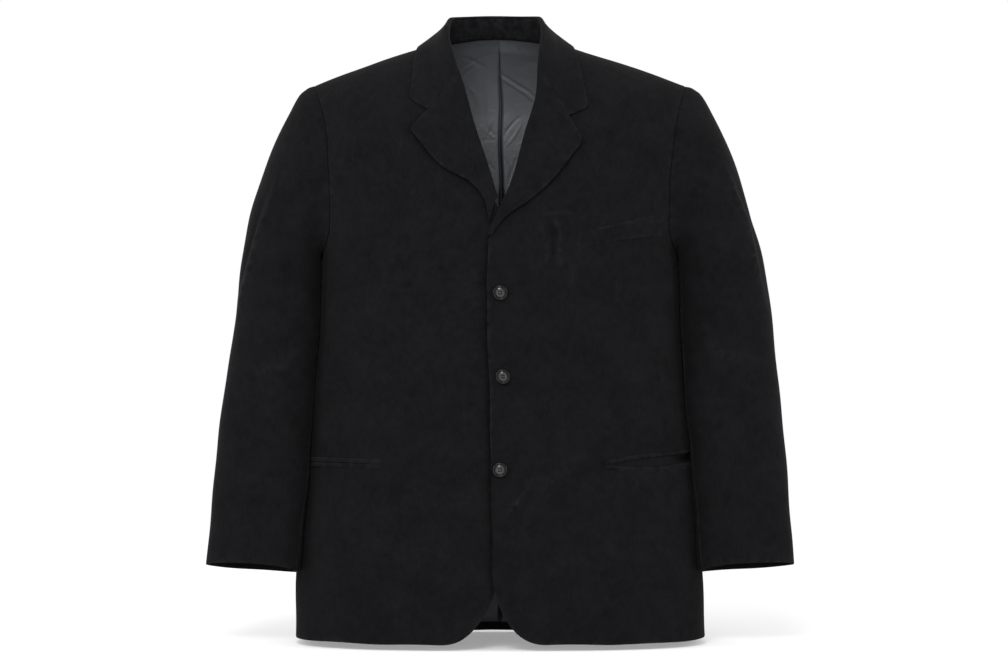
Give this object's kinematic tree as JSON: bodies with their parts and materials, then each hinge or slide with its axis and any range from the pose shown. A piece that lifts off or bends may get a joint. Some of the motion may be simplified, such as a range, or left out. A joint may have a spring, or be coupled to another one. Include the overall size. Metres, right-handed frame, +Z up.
{
  "type": "suit jacket",
  "caption": "Single-breasted suit jacket with notch lapels, long sleeves, rounded front corners, jetted hip pockets and a chest welt, hollow as if worn.",
  "frame": {"origin": "the middle of the neck opening, midway between the inner ends of the two shoulder seams, where the wearer's neck comes through", "axes": "+Z up along the wearer's trunk, -Y out of the front, +X towards the wearer's left side"},
  "size_m": [0.765, 0.2533, 0.8224],
  "materials": {
    "cloth": "black, softly napped and matt",
    "lining": "dark grey satin",
    "button": "polished"
  },
  "bodies": {
    "root": {"front_left": "cloth", "front_right": "cloth", "back_left": "cloth", "back_right": "cloth", "lining_back": "lining", "sleeve_top_left": "cloth", "sleeve_under_left": "cloth", "sleeve_top_right": "cloth", "sleeve_under_right": "cloth", "lapel_left": "cloth", "lapel_right": "cloth", "collar_fall": "cloth", "collar_stand": "cloth", "pocket_jet_upper_left": "cloth", "pocket_jet_lower_left": "cloth", "pocket_jet_upper_right": "cloth", "pocket_jet_lower_right": "cloth", "chest_welt": "cloth", "button_1": "button", "button_2": "button", "button_3": "button"}
  },
  "joints": []
}
